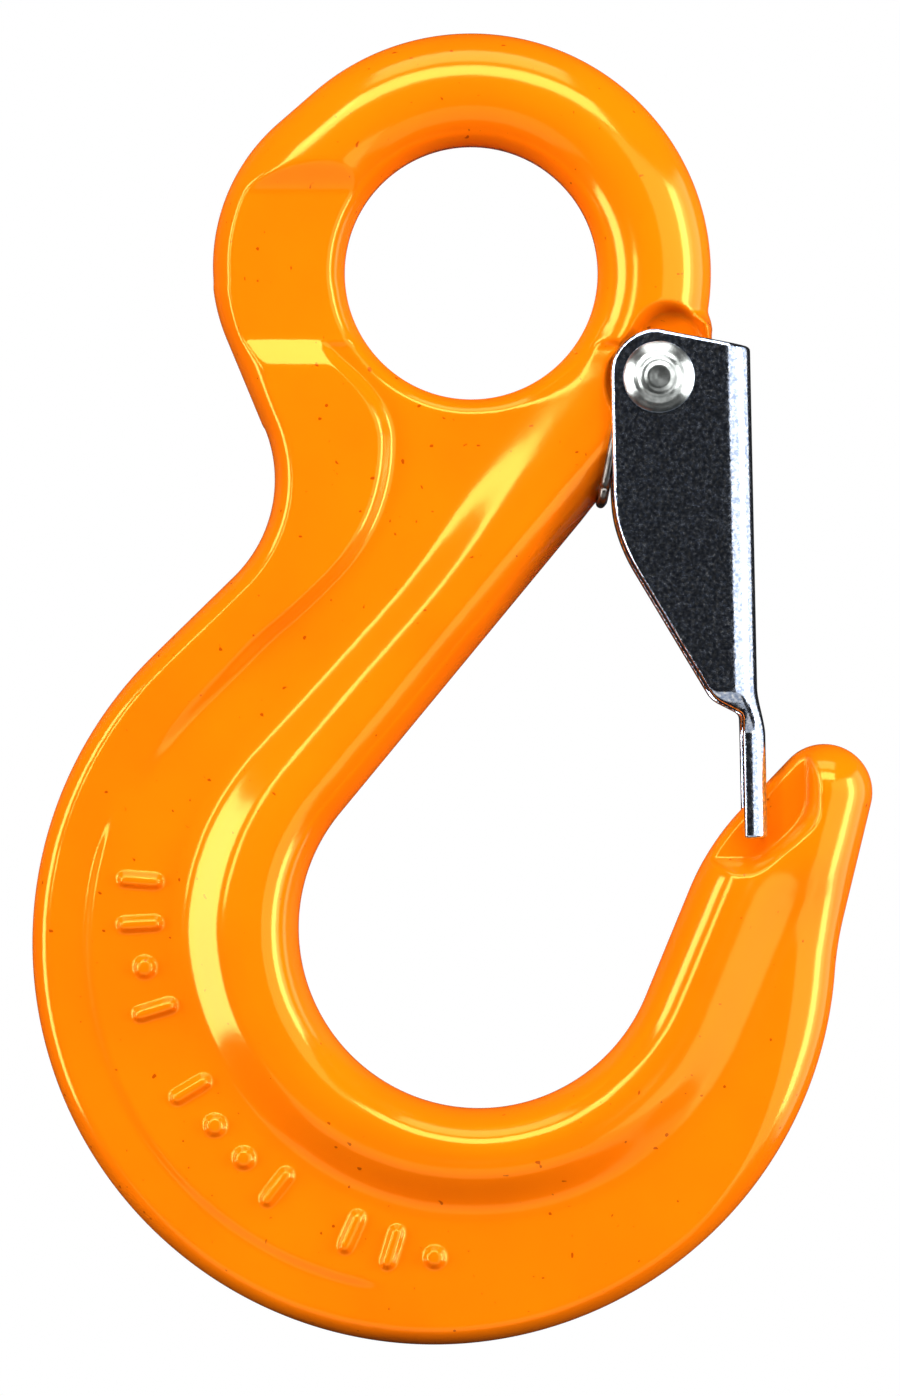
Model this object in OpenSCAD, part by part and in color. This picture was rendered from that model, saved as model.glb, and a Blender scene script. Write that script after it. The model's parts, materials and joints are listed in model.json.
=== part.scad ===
// Eye sling hook with a spring-loaded safety latch, for 13 mm lifting chain.
// The origin is the centre of the eye, +Z is up, the hook opens towards +X and Y is its thickness.
// The forging, the latch and the spring are mirror images of themselves about the plane Y = 0.

/* [Eye] */
// Radius of the bore through the eye
eye_r = 21.5; // [21.3:0.1:21.8]
// Half the thickness of the eye's round bar
bar_r = 9.8; // [9.6:0.1:10]
// Length of the straight wall left inside the eye where the forging was punched
land_h = 4.8; // [4:0.2:5.6]
// Half the thickness of the flattened side of the eye, where a coupling link goes over it
flat_h = 7; // [6.6:0.1:7.4]

/* [Bowl] */
// Radius of the bowl that carries the load
bowl_r = 30.6; // [30:0.1:31]
// Radius of the back of the bowl
back_r = 68.5; // [68:0.1:69]
// Half the thickness of the thick inner bead of the bowl
bead_h = 11.2; // [10.6:0.1:11.8]
// Half the thickness of the thin web
web_h = 6; // [5.6:0.1:6.4]
// Half the thickness of the raised rim at the neck
rim_h = 8.6; // [8.2:0.1:9]

/* [Tip] */
// Radius of the rounded tip
tip_r = 8.2; // [8:0.1:8.4]
// Half the thickness of the nose that the latch straddles
nose_h = 4.2; // [3.8:0.1:4.4]

/* [Latch] */
// Thickness of the sheet steel
sheet = 2; // [1.6:0.1:2.2]
// Half the width of the latch over its two cheeks
latch_half = 13.5; // [13.4:0.1:14]
// Half the width of the narrow end of the latch
fork_half = 9.5; // [9:0.1:10]
// Lean of the closed latch away from vertical, in degrees
latch_lean = 1.2; // [1:0.1:1.4]

/* [Rivet] */
// Radius of the rivet's shank
rivet_r = 3.5; // [3.2:0.1:3.6]
// Radius of the rivet's heads
head_r = 6; // [5.6:0.1:6.4]

/* [Spring] */
// Diameter of the spring wire
wire_d = 1.7; // [1.5:0.05:1.7]
// Radius of the spring's coils, to the middle of the wire
coil_r = 5.3; // [5.2:0.05:5.6]

/* [Hidden] */
$fn = 96;
running = 0.05; // radial clearance on the rivet

ring_r = eye_r + sqrt(pow(bar_r, 2) - pow(land_h / 2, 2)); // middle of the eye's round bar

// Circles that the outline is made of, as centres in X and Z
bowl_c = [1.3, -111.3];
back_c = [-6.3, -113.8];
tip_c = [60, -88.2];
tip_inner_c = [77.8, -121.4];
tip_inner_r = 44;
tip_outer_r = 60;
tip_outer_c = back_c + (back_r + tip_outer_r) * [cos(-4.3), sin(-4.3)];
cheek_c = [-11.8, 1.2]; // the flattened side of the eye bulges out on this circle
cheek_out_r = 32.15;
cheek_top_a = 131.4; // where the bulge runs out along a line that also touches the eye's round
neck_r = 23;
neck_c = [-56.4, -35.1];
pin = [31.6, -18.1];
lug_r = 9.4;
lug_h = 5.2;
pocket_r = 7.8;
pocket_top = [33.7, -12]; // the pocket for the spring reaches up to a smaller round about this point
pocket_top_r = 5.4;
throat_a = 140.7; // direction that the straight throat edge faces away from

// Section of the bent bar, as distances from its inner edge
inner_round = 7;
shoulder = 11.4;
foot = 19;
outer_round = 3.4;

function on(c, r, a) = c + r * [cos(a), sin(a)];
function arc(c, r, a0, a1, n) = [for (i = [0:n]) on(c, r, a0 + (a1 - a0) * i / n)];
function line(p, q, n) = [for (i = [0:n]) p + (q - p) * i / n];
function mix(a, b, t) = a + (b - a) * min(1, max(0, t));

// ---- The forged hook body ----

throat_start = on(bowl_c, bowl_r, throat_a);
throat_dir = [cos(throat_a - 90), sin(throat_a - 90)];
throat_out = -[cos(throat_a), sin(throat_a)]; // points from the shank into the throat
lug_foot = on(pin, lug_r, -97);

n_tip = 5;
n_nose = 5;
n_bowl = 26;
n_line = 4;
n_neck = 8;
n_lug = 5;

tip_axis_a = 61;
tip_first = 12;
tip_in_a = 136.3;
tip_out_a = -15.7;

inner_edge = concat(
    arc(tip_c, tip_r, tip_axis_a + tip_first, tip_in_a, n_tip),
    arc(tip_inner_c, tip_inner_r, tip_in_a, 157.2, n_nose),
    arc(bowl_c, bowl_r, -22.8, throat_a - 360, n_bowl),
    line(throat_start + 5 * throat_dir, throat_start + 26 * throat_dir, n_line),
    line(throat_start + 32 * throat_dir, throat_start + 72 * throat_dir, n_neck),
    concat([lug_foot], arc(pin, lug_r, -75, 0, n_lug - 2), [[pin.x + lug_r, -6]]));

outer_edge = concat(
    arc(tip_c, tip_r, tip_axis_a - tip_first, tip_out_a, n_tip),
    arc(tip_outer_c, tip_outer_r, 164.3, 175.7, n_nose),
    arc(back_c, back_r, -8, 133.7 - 360, n_bowl),
    line(on(back_c, back_r, 132), on(neck_c, neck_r, -46.3), n_line),
    arc(neck_c, neck_r, -40, 19, n_neck),
    arc(cheek_c, cheek_out_r, 202, 189, n_lug));

first_bowl = n_tip + 1 + n_nose + 1;
first_line = first_bowl + n_bowl + 1;
first_neck = first_line + n_line + 1;
first_lug = first_neck + n_neck + 1;

// Half-thicknesses at station i: [bead, web, rim, rim width]
function heights(i) =
    i <= n_tip ? let (e = tip_r * (1 - cos(tip_first + (75 - tip_first) * i / n_tip)))
        [for (h = [8.2, 8, 7.6]) h * sqrt(1 - pow(1 - min(1, e / 6), 2))] :
    i < first_bowl ? [mix(8.2, 9, (i - n_tip) / n_nose), 8, mix(7.6, 7, (i - n_tip) / n_nose)] :
    i < first_line ? let (t = (i - first_bowl) / n_bowl)
        [mix(9, bead_h, 5 * t), mix(8, web_h, 4 * t), mix(7, web_h, 4 * t)] :
    i < first_neck ? let (t = (i - first_line) / n_line)
        [mix(bead_h, 10.2, t), web_h, mix(web_h, 7.6, t)] :
    i < first_lug ? let (t = i - first_neck)
        [mix(10.2, 9.3, t / n_neck), web_h, mix(7.6, rim_h, t / 3)] :
    [8.4, web_h, mix(rim_h, flat_h, (i - first_lug - 1) / 2)];

function rim_width(i) =
    i < first_line ? 9.4 :
    i < first_neck ? mix(9.4, 12, (i - first_line) / n_line) :
    mix(13, 21, (i - first_neck) / n_neck);

// Half of a section as [distance from the inner edge, half-thickness]
function half_section(w, bead, web, rim, rim_w) =
    let (a = min(inner_round, 0.3 * w), e = min(outer_round, 0.2 * w), edge = rim - min(1.4, 0.2 * rim))
    let (step = w - min(rim_w, 0.42 * w))
    concat(
        [for (t = [0:22.5:90]) [a * (1 - cos(t)), bead * sin(t)]],
        [[min(shoulder, 0.36 * w), bead - 0.3],
         [min(foot, 0.47 * w), web],
         [max(step - 1.5, 0.5 * w), web],
         [step + 1.5, rim]],
        [for (t = [0:30:90]) [w - e + e * sin(t), edge * cos(t)]]);

function section(i) =
    let (p = inner_edge[i], q = outer_edge[i], w = norm(q - p), h = heights(i))
    let (half = half_section(w, h[0], h[1], h[2], rim_width(i)), n = len(half))
    [for (k = [0:2 * n - 3])
        let (top = k < n, s = half[top ? k : 2 * n - 2 - k], c = p + (q - p) * s[0] / w)
        [c.x, (top ? -1 : 1) * s[1], c.y]];

// A closed solid through a list of rings, which all hold the same number of points
module skin(rings) {
    m = len(rings[0]);
    n = len(rings);
    polyhedron(
        points = [for (r = rings) each r],
        faces = concat(
            [[for (k = [m - 1:-1:0]) k]],
            [for (i = [0:n - 2], k = [0:m - 1]) let (k2 = (k + 1) % m)
                each [[i * m + k, (i + 1) * m + k2, (i + 1) * m + k],
                    [i * m + k, i * m + k2, (i + 1) * m + k2]]],
            [[for (k = [0:m - 1]) (n - 1) * m + k]]),
        convexity = 8);
}

// Extrudes a shape drawn in X and Z by h, centred on Y = 0
module slab(h) {
    rotate([90, 0, 0]) linear_extrude(h, center = true) children();
}

// Turns a shape drawn as [radius, Y] about the Y axis through a point in X and Z
module turned(c, a0 = 0, a = 360) {
    translate([c.x, 0, c.y]) rotate([90, 0, 0]) rotate([0, 0, a0])
        rotate_extrude(angle = a, $fn = 80) children();
}

module bent_bar() {
    skin([for (i = [0:len(inner_edge) - 1]) section(i)]);
}

// The round bar of the eye, which thins down to the web under the eye
module eye_ring() {
    web_end = [4, 15];
    floor_y = web_h - 0.1;
    difference() {
        turned([0, 0]) translate([ring_r, 0]) circle(bar_r, $fn = 28);
        for (s = [0, 1]) mirror([0, s, 0]) translate([0, 0, -50]) linear_extrude(38)
            polygon([[-20.5, bar_r + 1], [-16.2, floor_y], [web_end[0], floor_y],
                [web_end[1], bar_r + 0.1], [web_end[1], bar_r + 1]]);
    }
}

// The side of the eye that bulges out beyond the round bar
module eye_cheek() {
    tube = bar_r - 0.05;
    turned(cheek_c, cheek_top_a, 211 - cheek_top_a)
        translate([cheek_out_r - bar_r, 0]) circle(tube, $fn = 28);
    hull() for (p = [on(cheek_c, cheek_out_r - bar_r, cheek_top_a), on([0, 0], ring_r, cheek_top_a)])
        translate([p.x, 0, p.y]) rotate([90, 0, 0]) sphere(tube, $fn = 28);
}

// What is taken out of the bent bar for the eye; it stays just inside the round bar's skin
module eye_spool() {
    inside = bar_r - 0.8;
    turned([0, 0]) difference() {
        translate([0, -15]) square([ring_r, 30]);
        translate([ring_r, 0]) circle(inside, $fn = 28);
    }
}

module eye_bore() {
    rotate([90, 0, 0]) cylinder(r = eye_r, h = 40, center = true);
}

// Flats across the side of the eye, with a ramp at each end
module link_flats() {
    low = rim_h - 0.04;
    cut = [[flat_h, -11.3], [low, -16.4], [low, -29], [20, -29],
        [20, 19.8], [bar_r + 0.5, 19.8], [flat_h, 13.3]];
    for (s = [-1, 1]) translate([-60, 0, 0]) rotate([90, 0, 90]) linear_extrude(46)
        polygon([for (p = cut) [s * p.x, p.y]]);
}

// Pockets for the spring's coils beside the lug
module lug_pockets() {
    for (s = [-1, 1]) translate([0, s * (lug_h + 10), 0]) slab(20) hull() {
        translate(pin) circle(pocket_r, $fn = 48);
        translate(pocket_top) circle(pocket_top_r, $fn = 36);
    }
}

// Recesses either side of the nose, where the latch's fork lies
module nose_recesses() {
    corner = [51.5, -92.5];
    for (s = [-1, 1]) translate([0, s * (nose_h + 10), 0]) slab(20)
        polygon(concat([[34, -76], [57, -76]], arc(corner, 5.5, 0, -75, 5), [[44, -99.8], [34, -102.5]]));
}

module pin_bore(r) {
    translate([pin.x, 0, pin.y]) rotate([90, 0, 0]) cylinder(r = r, h = 60, center = true);
}

module forging() {
    difference() {
        union() {
            difference() {
                bent_bar();
                eye_spool();
            }
            eye_ring();
            eye_cheek();
        }
        link_flats();
        lug_pockets();
        nose_recesses();
    }
}

module hook_body() {
    color("darkorange") difference() {
        // a size of 0 keeps the forging's own size: it only makes one faceted body of it
        resize([0, 0, 0]) forging();
        eye_bore();
        pin_bore(rivet_r + running);
    }
}

// ---- The latch, drawn upright with the rivet at [0, 0] ----

web_out = 15.6; // outer face of the latch's back
fork_out = 16.9;
fork_depth = 3.9;
neck_top = -53;
neck_bottom = -60.5;
fork_end = -78.2;
slot_top = -67.3;
cheek_left = -8.3;

module at_latch() {
    translate([pin.x, 0, pin.y]) rotate([0, -latch_lean, 0]) children();
}

// U section of bent sheet in X and Y, open towards -X
module channel_section(out, half, left, r) {
    difference() {
        union() {
            translate([left, -half]) square([out - r - left, 2 * half]);
            translate([left, r - half]) square([out - left, 2 * (half - r)]);
            for (s = [-1, 1]) translate([out - r, s * (half - r)]) circle(r);
        }
        union() {
            translate([left - 1, sheet - half]) square([out - r - left + 1, 2 * (half - sheet)]);
            translate([left - 1, r - half]) square([out - sheet - left + 1, 2 * (half - r)]);
            for (s = [-1, 1]) translate([out - r, s * (half - r)]) circle(r - sheet);
        }
    }
}

module cheek_outline() {
    polygon(concat(
        arc([0, 0], -cheek_left, 180, 77, 10),
        [[web_out + 1, 4.3], [web_out + 1, neck_top], [8.4, neck_top]],
        arc([3.7, -22.5], 12, 210, 180, 4)));
}

// One corner block of the neck, where the sheet steps in from the wide channel to the fork
module neck_slice(out, depth, z, y0, y1) {
    translate([out - depth, y0, z - 0.05]) cube([depth, y1 - y0, 0.1]);
}

module latch_neck() {
    for (s = [0, 1]) mirror([0, s, 0]) hull() {
        neck_slice(web_out, 6.5, neck_top, -latch_half, sheet - latch_half);
        neck_slice(fork_out, fork_depth, neck_bottom, -fork_half, sheet - fork_half);
    }
    hull() {
        neck_slice(web_out, sheet, neck_top, -latch_half, latch_half);
        neck_slice(fork_out, sheet, neck_bottom, -fork_half, fork_half);
    }
}

module latch() {
    bend = 4.4;
    color("silver") difference() {
        at_latch() {
            intersection() {
                translate([0, 0, neck_top]) linear_extrude(20 - neck_top)
                    channel_section(web_out, latch_half, -20, bend);
                slab(60) cheek_outline();
            }
            latch_neck();
            difference() {
                translate([0, 0, fork_end]) linear_extrude(neck_bottom - fork_end)
                    channel_section(fork_out, fork_half, fork_out - fork_depth, 2.6);
                translate([0, -nose_h - 0.7, fork_end - 1])
                    cube([30, 2 * nose_h + 1.4, slot_top - fork_end + 1]);
            }
        }
        pin_bore(rivet_r + running);
    }
}

// ---- The rivet ----

head_rim = 0.9;
head_dome = 2.4;
dimple_r = 2.1;

module rivet_head(dimple) {
    dome_r = (pow(head_r, 2) + pow(head_dome, 2)) / (2 * head_dome);
    difference() {
        union() {
            cylinder(r = head_r, h = head_rim);
            intersection() {
                translate([0, 0, head_rim + head_dome - dome_r]) sphere(dome_r);
                translate([0, 0, head_rim - 0.2]) cylinder(r = head_r - 0.15, h = head_dome + 1);
            }
        }
        if (dimple) translate([0, 0, head_rim + head_dome - 0.6]) cylinder(r1 = 0.6, r2 = dimple_r, h = 1);
    }
}

module latch_rivet() {
    seat = latch_half + running;
    color("lightgray") translate([pin.x, 0, pin.y]) {
        rotate([90, 0, 0]) cylinder(r = rivet_r, h = 2 * seat + 1, center = true);
        translate([0, -seat, 0]) rotate([90, 0, 0]) rivet_head(true);
        translate([0, seat, 0]) rotate([-90, 0, 0]) rivet_head(false);
    }
}

// ---- The double torsion spring ----

wire_sides = 8;
coil_first = lug_h + 0.12 + wire_d / 2; // distance of the turn beside the lug from the middle
coil_last = latch_half - sheet - 0.15 - wire_d / 2; // and of the turn beside the cheek
leg_reach = 28;
bend_r = 2.2;

// The loop that joins the two coils bears on the throat edge, and the free legs on the latch's back
loop_c = throat_start + 69.2 * throat_dir + (wire_d / 2 + running) * throat_out - pin;
leg_end = [web_out - sheet - wire_d / 2 - running + leg_reach * sin(latch_lean), -leg_reach];

function angle_of(p) = atan2(p.y, p.x);
loop_a = angle_of(loop_c) + 360 - acos(coil_r / norm(loop_c));
leg_a = angle_of(leg_end) + acos(coil_r / norm(leg_end));
coil_turn = loop_a - leg_a + 360;

coil_steps = 34;
loop_dir = unit(loop_c - on([0, 0], coil_r, loop_a));
loop_n = [cos(loop_a), 0, sin(loop_a)];

function unit(v) = v / norm(v);
function at(p, y) = [p.x + pin.x, y, p.y + pin.y];

// Half of the wire as [point, normal], from a free leg's end through one coil to the middle of the loop
half_wire = concat(
    [for (p = line(leg_end, on([0, 0], coil_r, leg_a), 3)) [at(p, -coil_first), [cos(leg_a), 0, sin(leg_a)]]],
    [for (i = [1:coil_steps]) let (a = leg_a + coil_turn * i / coil_steps, t = i / coil_steps)
        [at(on([0, 0], coil_r, a), mix(-coil_first, -coil_last, t)), [cos(a), 0, sin(a)]]],
    let (end = on([0, 0], coil_r, loop_a))
        [for (p = line(end, loop_c - bend_r * loop_dir, 3)) if (p != end) [at(p, -coil_last), loop_n]],
    [for (t = [22.5:22.5:90])
        [at(loop_c - bend_r * (1 - sin(t)) * loop_dir, -coil_last + bend_r * (1 - cos(t))), loop_n]],
    [[at(loop_c, 0), loop_n]]);

wire_path = concat(half_wire, [for (i = [len(half_wire) - 2:-1:0])
    [[half_wire[i][0].x, -half_wire[i][0].y, half_wire[i][0].z], half_wire[i][1]]]);

function wire_ring(i) =
    let (n = len(wire_path), p = wire_path[i][0], nrm = wire_path[i][1])
    let (along = unit(wire_path[min(i + 1, n - 1)][0] - wire_path[max(i - 1, 0)][0]))
    let (side = unit(cross(along, nrm)))
    let (up = cross(side, along))
    [for (k = [0:wire_sides - 1]) let (a = 360 * k / wire_sides) p + wire_d / 2 * (up * cos(a) + side * sin(a))];

module latch_spring() {
    color("dimgray") skin([for (i = [0:len(wire_path) - 1]) wire_ring(i)]);
}

hook_body();
latch();
latch_rivet();
latch_spring();
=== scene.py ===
"""Looks for a forged eye sling hook with a sprung sheet-steel latch.

Shapes are worked out in millimetres in the row's frame and made as meshes in metres. In the hook's plane X
runs to the right and Z up; Y goes away from the viewer, and the origin is the middle of the eye.
The forging and the latch are implicit surfaces: each is a field that is positive inside the metal.
"""
import json
import math

import bpy
import numpy as np
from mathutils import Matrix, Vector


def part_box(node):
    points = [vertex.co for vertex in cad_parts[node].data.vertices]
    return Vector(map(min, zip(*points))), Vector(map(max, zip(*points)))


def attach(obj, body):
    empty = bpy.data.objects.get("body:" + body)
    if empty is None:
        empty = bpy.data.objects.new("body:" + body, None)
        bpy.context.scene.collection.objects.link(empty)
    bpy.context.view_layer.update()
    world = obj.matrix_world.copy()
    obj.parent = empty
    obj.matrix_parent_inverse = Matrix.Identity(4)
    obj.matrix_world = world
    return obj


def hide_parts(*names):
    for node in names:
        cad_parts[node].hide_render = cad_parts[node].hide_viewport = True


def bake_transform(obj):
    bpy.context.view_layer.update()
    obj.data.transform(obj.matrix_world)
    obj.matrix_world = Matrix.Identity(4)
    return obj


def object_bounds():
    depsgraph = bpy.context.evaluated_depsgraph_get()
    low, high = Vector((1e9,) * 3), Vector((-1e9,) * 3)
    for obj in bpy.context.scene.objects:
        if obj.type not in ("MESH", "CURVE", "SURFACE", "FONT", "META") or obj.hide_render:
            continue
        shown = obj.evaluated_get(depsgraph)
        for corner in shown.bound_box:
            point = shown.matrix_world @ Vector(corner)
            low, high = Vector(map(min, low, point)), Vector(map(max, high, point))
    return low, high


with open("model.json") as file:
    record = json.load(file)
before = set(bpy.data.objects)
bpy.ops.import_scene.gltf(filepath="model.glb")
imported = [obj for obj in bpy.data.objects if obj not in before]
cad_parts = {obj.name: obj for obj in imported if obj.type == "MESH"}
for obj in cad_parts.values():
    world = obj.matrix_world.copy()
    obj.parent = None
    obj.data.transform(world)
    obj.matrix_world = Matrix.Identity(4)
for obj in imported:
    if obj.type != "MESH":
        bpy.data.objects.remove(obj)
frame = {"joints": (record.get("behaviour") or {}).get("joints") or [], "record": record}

import openvdb
from mathutils import Vector

CAD_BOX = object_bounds()
MM = 0.001

RECORD = frame["record"]
EYE = next(m for m in RECORD["mounts"] if m["name"] == "eye_bore")
PIVOT = next(j for j in frame["joints"] if j["name"] == "latch_pivot")

# ---------------------------------------------------------------- sizes, in mm, that several pieces share

EYE_R = EYE["dims"]["r_mm"]
PIN = np.array([PIVOT["pos_m"][0], PIVOT["pos_m"][2]]) / MM
RIVET_R = 3.5
PIN_PLAY = 0.05
LUG_R = 9.4
LUG_H = 5.2
NOSE_H = 4.2
BOWL = (1.3, -111.3)
BOWL_R = 30.6

# the shank's straight throat edge: the ways out of the metal and down along it, and its distance from the pin
THROAT_OUT = np.array([math.cos(math.radians(-39.3)), math.sin(math.radians(-39.3))])
THROAT_DOWN = np.array([THROAT_OUT[1], -THROAT_OUT[0]])
PIN_TO_THROAT = 5.3

# ---------------------------------------------------------------- curves and joins


def polar(centre, radius, degrees):
    a = math.radians(degrees)
    return (centre[0] + radius * math.cos(a), centre[1] + radius * math.sin(a))


def smooth(t):
    t = np.clip(t, 0, 1)
    return t * t * (3 - 2 * t)


def climb(v, start, end):
    """0 up to start and 1 from end on, straight between. With a start above the end it falls as v grows."""
    return np.clip((v - start) / (end - start), 0, 1)


def rise(v, start, end):
    """As climb, but eased at both ends."""
    return smooth(climb(v, start, end))


def mix(a, b, t):
    return a + (b - a) * t


def smin(a, b, k):
    """The smaller of two, with a fillet where they are less than k apart."""
    h = np.maximum(k - np.abs(a - b), 0) / k
    return np.minimum(a, b) - h * h * k / 4


def smax(a, b, k):
    return -smin(-a, -b, k)


def ramp(v, curve):
    """Curve through the given (v, value) points with its corners eased over 10 mm, in rising order of v."""
    xs, ys = zip(*curve)
    return sum(np.interp(v + d, xs, ys) for d in (-5, -2.5, 0, 2.5, 5)) / 5


# ---------------------------------------------------------------- outlines made of arcs and tangent lines

FAR = 80.0  # the distance read where no part of the outline faces a point
# radians and mm that neighbouring parts reach past each other, so that no gap is left
ARC_SLACK = 1e-4
LINE_SLACK = 1e-3
ALMOST_ALL_ROUND = 2 * math.pi - 0.01  # an arc that sweeps more than this has no length at all


class Outline:
    """A closed outline round a list of circles (x, z, radius, group), with the metal on its left.

    A positive radius is a corner that bulges out, a negative one is a hollow. Neighbouring circles are joined
    by their common tangent line, which belongs to the first one's group.
    """

    def __init__(self, circles):
        # ("arc", middle, radius, start, sweep, group) or ("line", start, end, normal, None, group)
        self.parts = []
        n = len(circles)
        normals = []
        for i in range(n):
            x0, z0, r0, _ = circles[i]
            x1, z1, r1, _ = circles[(i + 1) % n]
            dx, dz = x1 - x0, z1 - z0
            turn = math.acos(max(-1, min(1, (r1 - r0) / math.hypot(dx, dz))))
            normals.append(math.atan2(dz, dx) + turn)
        for i in range(n):
            x0, z0, r0, group = circles[i]
            x1, z1, r1, _ = circles[(i + 1) % n]
            a_in, a_out = normals[i - 1], normals[i]
            # the outward direction is opposite to the normal on a bulge and along it in a hollow
            flip = math.pi if r0 > 0 else 0.0
            sweep = (a_out - a_in) % (2 * math.pi) if r0 > 0 else (a_in - a_out) % (2 * math.pi)
            if sweep < ALMOST_ALL_ROUND:
                start = (a_in if r0 > 0 else a_out) + flip
                self.parts.append(("arc", (x0, z0), r0, start, sweep, group))
            nx, nz = math.cos(a_out), math.sin(a_out)
            p = (x0 - r0 * nx, z0 - r0 * nz)
            q = (x1 - r1 * nx, z1 - r1 * nz)
            if math.dist(p, q) > LINE_SLACK:
                self.parts.append(("line", p, q, (nx, nz), None, group))

    def depth(self, x, z, groups=None):
        """Signed distance to the outline, or to some of its groups, positive in the metal."""
        best = np.full(x.shape, FAR)
        for kind, a, b, c, d, group in self.parts:
            if groups and not set(group) & set(groups):
                continue
            if kind == "arc":
                dx, dz = x - a[0], z - a[1]
                rho = np.hypot(dx, dz)
                ang = (np.arctan2(dz, dx) - c + ARC_SLACK) % (2 * math.pi)
                value = b - rho if b > 0 else rho + b
                valid = ang <= d + 2 * ARC_SLACK
            else:
                length = math.dist(a, b)
                tx, tz = (b[0] - a[0]) / length, (b[1] - a[1]) / length
                along = (x - a[0]) * tx + (z - a[1]) * tz
                value = (x - a[0]) * c[0] + (z - a[1]) * c[1]
                valid = (along >= -LINE_SLACK) & (along <= length + LINE_SLACK)
            take = valid & (np.abs(value) < np.abs(best))
            best = np.where(take, value, best)
        return best


BAR_R = 9.75
RING_R = 31.0  # to the middle of the eye's bar
CHEEK, CHEEK_R = (-11.8, 1.2), 32.1
NECK, NECK_R = (-56.4, -35.1), 23.0
BACK, BACK_R = (-6.3, -113.8), 68.3
TIP, TIP_R = (60.0, -88.2), 8.2
TIP_BACK_R = 60.0
TIP_BACK = polar(BACK, BACK_R + TIP_BACK_R, -4.3)
TIP_FRONT, TIP_FRONT_R = (77.8, -121.4), 44.0
LUG_FILLET = 3.0
FILLET = PIN + (PIN_TO_THROAT + LUG_FILLET) * THROAT_OUT + THROAT_DOWN * math.sqrt(
    (LUG_R + LUG_FILLET) ** 2 - (PIN_TO_THROAT + LUG_FILLET) ** 2
)

# groups: e is the eye's own circle, o the hook's outer edge and i its inner edge
OUTLINE = Outline(
    [
        (0, 0, RING_R + BAR_R, "e"),
        (*CHEEK, CHEEK_R, "eo"),
        (*NECK, -NECK_R, "o"),
        (*BACK, BACK_R, "o"),
        (*TIP_BACK, -TIP_BACK_R, "o"),
        (*TIP, TIP_R, "oi"),
        (*TIP_FRONT, TIP_FRONT_R, "i"),
        (*BOWL, -BOWL_R, "i"),
        (*FILLET, -LUG_FILLET, "i"),
        (*PIN, LUG_R, "i"),
    ]
)

# ---------------------------------------------------------------- the forging
#
# Heights are half-thicknesses. A (start, end) pair is the stretch over which one shape turns into the next:
# in mm along X or Z, in mm in from an edge, or in degrees round the bowl's middle with 0 to the right.


class Plan:
    """Points of the hook's plane, with what its features need to know about each."""

    NOSE_SIDE_TOP = -60
    NOSE_SIDE_LEFT = 25
    NOSE_TURN = (-78, -23)

    def __init__(self, x, z):
        self.x, self.z = x, z
        self.depth = OUTLINE.depth(x, z)
        self.from_inner = OUTLINE.depth(x, z, "i")
        self.from_outer = OUTLINE.depth(x, z, "o")
        self.turn = np.degrees(np.arctan2(z - BOWL[1], x - BOWL[0]))
        self.below = z < BOWL[1]
        right = (x > BOWL[0]) & (z < self.NOSE_SIDE_TOP)
        self.nose_side = right & (self.below | (x > self.NOSE_SIDE_LEFT))
        self.nose = rise(self.turn, *self.NOSE_TURN) * self.nose_side


BEAD_H = 11.2
SHANK_H = 10.1
NOSE_BEAD_H = 10.0
SHANK_CREST = [(-95, BEAD_H), (-70, SHANK_H), (-40, SHANK_H), (-25, 9.5)]
# the bead's slope runs from its shoulder to its foot; both are distances from the inner edge
SHOULDER, WIDE_SHOULDER = 9.0, 11.3
FOOT, WIDE_FOOT = 18.2, 20.7
UNDER_BOWL = (180, 90)
SHANK_SHOULDER = [(-110, WIDE_SHOULDER), (-60, SHOULDER)]
SHANK_FOOT = [(-110, WIDE_FOOT), (-72, 18.8), (-50, 17.6), (-38, 20.6), (-24, 22.0)]


def bead_section(p):
    """Height of the thick bead along the inner edge, and where its slope starts and ends."""
    crest = mix(np.where(p.nose_side, BEAD_H, ramp(p.z, SHANK_CREST)), NOSE_BEAD_H, p.nose)
    under = climb(np.abs(p.turn), *UNDER_BOWL)
    parts = [p.below, p.nose_side]
    shoulder = np.select(parts, [mix(WIDE_SHOULDER, SHOULDER, under), SHOULDER], ramp(p.z, SHANK_SHOULDER))
    foot = np.select(parts, [mix(WIDE_FOOT, FOOT, under), FOOT], ramp(p.z, SHANK_FOOT))
    return crest, shoulder, foot


MARKS = "bbdb.bddb.bbd"  # b is a bar, d is a dot and . is a gap
MARK_H = 1.2
MARK_FLANK = (-0.28, 0.42)
MARK_PATH, MARK_PATH_R = (BOWL[0] + 3, BOWL[1] + 4), 60.5
MARK_FIRST, MARK_PITCH = 176, 7.0  # degrees
BAR_HALF, BAR_HALF_WIDTH, DOT_R = 2.6, 1.1, 1.7


def mark_depth(x, z):
    """Distance into the nearest raised mark: plain bars and dots along the bowl, which spell nothing."""
    best = np.full(x.shape, -FAR)
    for i, sort in enumerate(MARKS):
        if sort == ".":
            continue
        a = math.radians(MARK_FIRST + MARK_PITCH * i)
        middle = polar(MARK_PATH, MARK_PATH_R, MARK_FIRST + MARK_PITCH * i)
        u = (x - middle[0]) * math.cos(a) + (z - middle[1]) * math.sin(a)
        v = -(x - middle[0]) * math.sin(a) + (z - middle[1]) * math.cos(a)
        if sort == "b":
            u = np.maximum(np.abs(u) - BAR_HALF, 0)
        size = BAR_HALF_WIDTH if sort == "b" else DOT_R
        best = np.maximum(best, size - np.hypot(u, v))
    return best


WEB_H = 6.2
NOSE_WEB_H = 7.2
RIM_H = 8.5
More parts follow.
